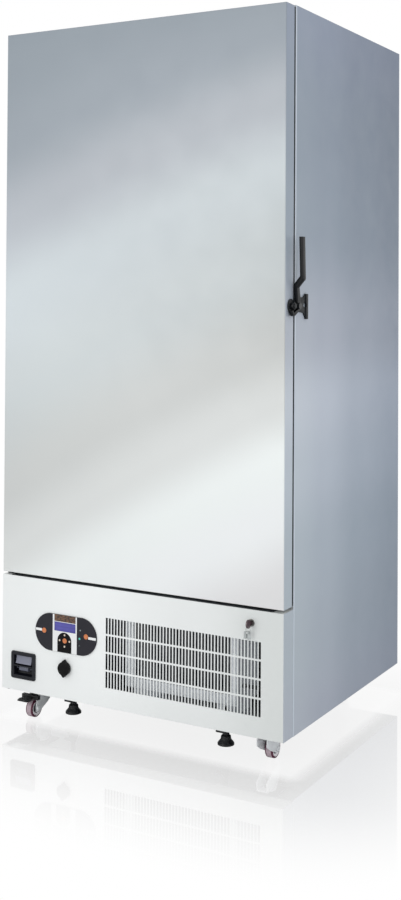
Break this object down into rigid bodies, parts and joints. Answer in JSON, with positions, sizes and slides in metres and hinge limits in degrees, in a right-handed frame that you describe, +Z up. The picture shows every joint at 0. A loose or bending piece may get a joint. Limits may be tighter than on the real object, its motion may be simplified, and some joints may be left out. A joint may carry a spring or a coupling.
{
  "type": "upright laboratory freezer",
  "caption": "Upright laboratory freezer on castors, with a pale blue-grey door, a black side latch and a white lower panel carrying a grille, controls and a lock",
  "frame": {"origin": "centre of the bounding box, on the floor under the castors", "axes": "+Z up; -Y is the front with the door and the lower panel, +Y the back; +X is the latch side, on the right seen from the front"},
  "size_m": [0.907, 0.82, 1.93],
  "materials": {
    "cabinet_paint": "smooth satin bluish-grey paint",
    "rear_paint": "satin grey paint on the rear sheet",
    "zinc_sheet": "zinc-coated sheet",
    "foam": "foamed-in insulation, hidden",
    "inner_steel": "brushed stainless liner",
    "frame_plastic": "matt moulded frame",
    "copper": "drawn tube, dull",
    "line_sleeve": "foam rubber sleeve over the copper lines",
    "shelf_steel": "brushed stainless",
    "hinge_steel": "dark satin paint",
    "pin_steel": "turned steel",
    "black_cast": "black paint over a casting",
    "black_steel": "black paint",
    "zinc_castor": "zinc-plated pressed steel with black edges",
    "compressor_paint": "semi-gloss black paint",
    "black_rubber": "matt rubber",
    "condenser_fins": "fine fins, dark with depth",
    "duct_sheet": "pale grey-blue coated sheet",
    "motor_black": "dark paint",
    "exchanger_steel": "brazed plates",
    "box_paint": "light grey paint",
    "inlet_black": "black moulded",
    "fan_sheet": "pressed sheet",
    "door_paint": "smooth satin pale blue-grey paint",
    "liner_plastic": "white moulded liner",
    "seal_rubber": "dark soft rubber",
    "bush_plastic": "natural bearing plastic",
    "roller_black": "hard black plastic",
    "lever_black": "smooth black powder coat over a casting",
    "inner_door_white": "white insulated door",
    "panel_paint": "smooth near-white satin paint",
    "fascia_grey": "charcoal film with a white band down its middle",
    "display_black": "indigo display window",
    "board_green": "circuit board",
    "bezel_black": "black moulded housing",
    "lock_chrome": "plated, dulled",
    "rocker_lilac": "pale lilac-grey rocker",
    "toggle_grey": "dark grey toggle",
    "key_steel": "dark nickelled key",
    "ring_steel": "nickelled ring, key and tag",
    "knob_black": "glossy black knob",
    "key_orange": "soft orange key",
    "tyre_maroon": "maroon tyre with a mauve tread, pale sides and a plated hub",
    "pedal_black": "black coated steel",
    "foot_black": "black coated foot"
  },
  "bodies": {
    "cabinet": {"outer_wrap": "cabinet_paint", "rear_panel": "rear_paint", "deck_plate": "zinc_sheet", "base_tray": "zinc_sheet", "cabinet_foam": "foam", "inner_liner": "inner_steel", "front_frame": "frame_plastic", "evaporator_coil": "copper", "shelves": "shelf_steel", "shelf_rails": "shelf_steel", "hinge_brackets": "hinge_steel", "pivot_pins": "pin_steel", "latch_bracket": "black_cast", "caster_plates": "black_steel", "rear_caster_forks": "zinc_castor", "compressor_high_stage": "compressor_paint", "compressor_low_stage": "compressor_paint", "compressor_grommets": "black_rubber", "condenser": "condenser_fins", "fan_shroud": "duct_sheet", "fan_motor": "motor_black", "heat_exchanger": "exchanger_steel", "refrigerant_lines": "line_sleeve", "electrical_box": "box_paint", "power_inlet": "inlet_black"},
    "fan": {"fan_blades": "fan_sheet"},
    "door": {"door_skin": "door_paint", "door_foam": "foam", "door_liner": "liner_plastic", "door_gasket": "seal_rubber", "hinge_bushes": "bush_plastic", "strike_base": "black_cast"},
    "roller": {"strike_roller": "roller_black"},
    "lever": {"latch_lever": "lever_black"},
    "upper_inner_door": {"inner_door_upper": "inner_door_white"},
    "lower_inner_door": {"inner_door_lower": "inner_door_white"},
    "panel": {"front_panel": "panel_paint", "control_fascia": "fascia_grey", "display_window": "display_black", "control_board": "board_green", "switch_bezel": "bezel_black", "lock_barrel": "lock_chrome"},
    "rocker": {"power_rocker": "rocker_lilac"},
    "toggle": {"breaker_lever": "toggle_grey"},
    "key": {"lock_key": "key_steel"},
    "ring": {"key_ring": "ring_steel"},
    "knob": {"selector_knob": "knob_black"},
    "key_enter": {"enter_button": "key_orange"},
    "key_left": {"left_button": "key_orange"},
    "key_right": {"right_button": "key_orange"},
    "fork_left": {"caster_fork_left": "zinc_castor"},
    "fork_right": {"caster_fork_right": "zinc_castor"},
    "wheel_front_left": {"front_wheel_left": "tyre_maroon"},
    "wheel_front_right": {"front_wheel_right": "tyre_maroon"},
    "wheel_rear_left": {"rear_wheel_left": "tyre_maroon"},
    "wheel_rear_right": {"rear_wheel_right": "tyre_maroon"},
    "pedal_left": {"brake_pedal_left": "pedal_black"},
    "pedal_right": {"brake_pedal_right": "pedal_black"},
    "foot_left": {"leveling_foot_left": "foot_black"},
    "foot_right": {"leveling_foot_right": "foot_black"}
  },
  "joints": [
    {"name": "door_swing", "type": "hinge", "parent": "cabinet", "child": "door", "pos_m": [-0.4375, -0.367, 1.165], "axis": [0, 0, -1], "range_deg": [0, 105]},
    {"name": "inner_door_upper_swing", "type": "hinge", "parent": "cabinet", "child": "upper_inner_door", "pos_m": [-0.3405, -0.296, 1.504], "axis": [0, 0, -1], "range_deg": [0, 89.25]},
    {"name": "inner_door_lower_swing", "type": "hinge", "parent": "cabinet", "child": "lower_inner_door", "pos_m": [-0.3405, -0.296, 0.838], "axis": [0, 0, -1], "range_deg": [0, 89.25]},
    {"name": "latch_lever_turn", "type": "hinge", "parent": "cabinet", "child": "lever", "pos_m": [0.435, -0.328, 1.165], "axis": [1, 0, 0], "range_deg": [-12, 40]},
    {"name": "strike_roller_spin", "type": "hinge", "parent": "door", "child": "roller", "pos_m": [0.435, -0.355, 1.165], "axis": [1, 0, 0], "continuous": true},
    {"name": "panel_swing", "type": "hinge", "parent": "cabinet", "child": "panel", "pos_m": [-0.4375, -0.367, 0.24], "axis": [0, 0, -1], "range_deg": [0, 100]},
    {"name": "lock_turn", "type": "hinge", "parent": "panel", "child": "key", "pos_m": [0.3355, -0.383, 0.367], "axis": [0, 1, 0], "range_deg": [0, 90]},
    {"name": "key_ring_swing", "type": "hinge", "parent": "key", "child": "ring", "pos_m": [0.3355, -0.399, 0.361], "axis": [1, 0, 0], "range_deg": [-60, 15]},
    {"name": "selector_knob_turn", "type": "hinge", "parent": "panel", "child": "knob", "pos_m": [-0.2355, -0.383, 0.167], "axis": [0, 1, 0], "range_deg": [-135, 135]},
    {"name": "power_rocker_tilt", "type": "hinge", "parent": "panel", "child": "rocker", "pos_m": [-0.378, -0.376, 0.166], "axis": [1, 0, 0], "range_deg": [0, 24]},
    {"name": "breaker_lever_tilt", "type": "hinge", "parent": "panel", "child": "toggle", "pos_m": [-0.378, -0.372, 0.141], "axis": [1, 0, 0], "range_deg": [0, 30]},
    {"name": "enter_press", "type": "slide", "parent": "panel", "child": "key_enter", "axis": [0, 1, 0], "range_m": [0, 0.001], "stiffness_N_per_m": 1500},
    {"name": "left_press", "type": "slide", "parent": "panel", "child": "key_left", "axis": [0, 1, 0], "range_m": [0, 0.001], "stiffness_N_per_m": 1500},
    {"name": "right_press", "type": "slide", "parent": "panel", "child": "key_right", "axis": [0, 1, 0], "range_m": [0, 0.001], "stiffness_N_per_m": 1500},
    {"name": "caster_swivel_left", "type": "hinge", "parent": "cabinet", "child": "fork_left", "pos_m": [-0.3735, -0.31, 0.068], "axis": [0, 0, 1], "continuous": true},
    {"name": "caster_swivel_right", "type": "hinge", "parent": "cabinet", "child": "fork_right", "pos_m": [0.3465, -0.31, 0.068], "axis": [0, 0, 1], "continuous": true},
    {"name": "front_wheel_left_spin", "type": "hinge", "parent": "fork_left", "child": "wheel_front_left", "pos_m": [-0.3735, -0.34, 0.025], "axis": [1, 0, 0], "continuous": true},
    {"name": "front_wheel_right_spin", "type": "hinge", "parent": "fork_right", "child": "wheel_front_right", "pos_m": [0.3465, -0.28, 0.025], "axis": [1, 0, 0], "continuous": true},
    {"name": "rear_wheel_left_spin", "type": "hinge", "parent": "cabinet", "child": "wheel_rear_left", "pos_m": [-0.3035, 0.335, 0.025], "axis": [1, 0, 0], "continuous": true},
    {"name": "rear_wheel_right_spin", "type": "hinge", "parent": "cabinet", "child": "wheel_rear_right", "pos_m": [0.2765, 0.335, 0.025], "axis": [1, 0, 0], "continuous": true},
    {"name": "brake_pedal_left_press", "type": "hinge", "parent": "fork_left", "child": "pedal_left", "pos_m": [-0.3735, -0.326, 0.0592], "axis": [1, 0, 0], "range_deg": [0, 9]},
    {"name": "brake_pedal_right_press", "type": "hinge", "parent": "fork_right", "child": "pedal_right", "pos_m": [0.3465, -0.294, 0.0592], "axis": [-1, 0, 0], "range_deg": [0, 9]},
    {"name": "leveling_foot_left_screw", "type": "slide", "parent": "cabinet", "child": "foot_left", "axis": [0, 0, -1], "range_m": [0, 0.03]},
    {"name": "leveling_foot_right_screw", "type": "slide", "parent": "cabinet", "child": "foot_right", "axis": [0, 0, -1], "range_m": [0, 0.03]},
    {"name": "fan_spin", "type": "hinge", "parent": "cabinet", "child": "fan", "pos_m": [0.081, -0.173, 0.249], "axis": [0, 1, 0], "continuous": true}
  ],
  "couplings": [
    {"joint": "inner_door_upper_swing", "follows": "door_swing", "ratio": 0.85},
    {"joint": "inner_door_lower_swing", "follows": "door_swing", "ratio": 0.85}
  ]
}
